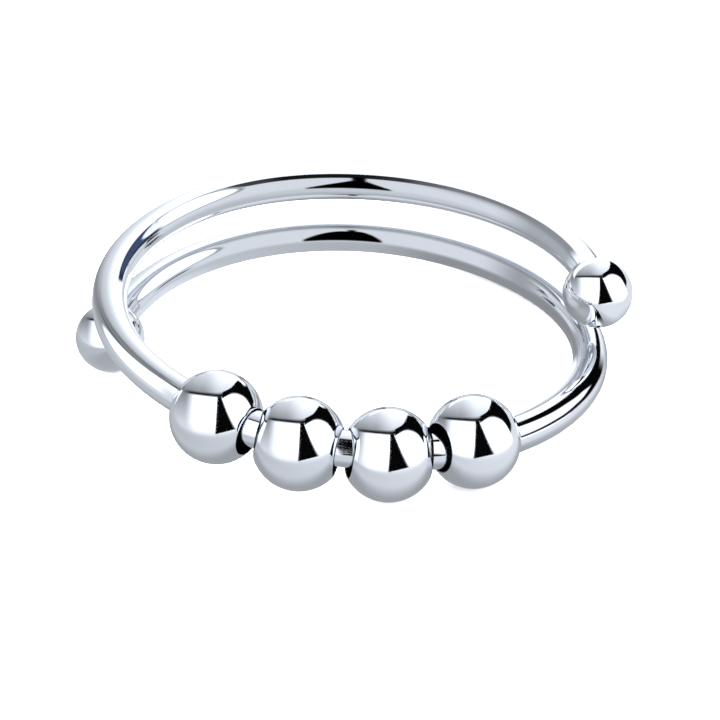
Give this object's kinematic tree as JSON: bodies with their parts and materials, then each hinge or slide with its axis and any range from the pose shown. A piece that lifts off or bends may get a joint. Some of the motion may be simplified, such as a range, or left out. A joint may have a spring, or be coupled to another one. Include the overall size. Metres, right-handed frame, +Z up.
{
  "type": "spinner ring",
  "caption": "Open coil ring of polished round wire, with a ball on each end and loose round beads that spin on its front.",
  "frame": {"origin": "where the axis of the finger hole meets the surface that the ring rests on", "axes": "+Z up from the resting surface; -Y towards the beads on the front; +X towards the higher end ball"},
  "size_m": [0.0216, 0.0208, 0.0046],
  "materials": {
    "wire": "polished silver, drawn wire",
    "end_ball": "polished silver",
    "bead": "mirror polished silver"
  },
  "bodies": {
    "band": {"wire_band": "wire", "right_ball": "end_ball", "left_ball": "end_ball"},
    "bead_1": {"bead_1": "bead"},
    "bead_2": {"bead_2": "bead"},
    "bead_3": {"bead_3": "bead"},
    "bead_4": {"bead_4": "bead"}
  },
  "joints": [
    {"name": "bead_1_spin", "type": "hinge", "parent": "band", "child": "bead_1", "pos_m": [-0.00435, -0.00805, 0.00276], "axis": [0.8585, -0.4957, -0.1314], "continuous": true},
    {"name": "bead_2_spin", "type": "hinge", "parent": "band", "child": "bead_2", "pos_m": [-0.00138, -0.00913, 0.00231], "axis": [0.9742, -0.1716, -0.1466], "continuous": true},
    {"name": "bead_3_spin", "type": "hinge", "parent": "band", "child": "bead_3", "pos_m": [0.00178, -0.00913, 0.00184], "axis": [0.9743, 0.1729, -0.1444], "continuous": true},
    {"name": "bead_4_spin", "type": "hinge", "parent": "band", "child": "bead_4", "pos_m": [0.00479, -0.00805, 0.0017], "axis": [0.8588, 0.4968, -0.125], "continuous": true}
  ]
}
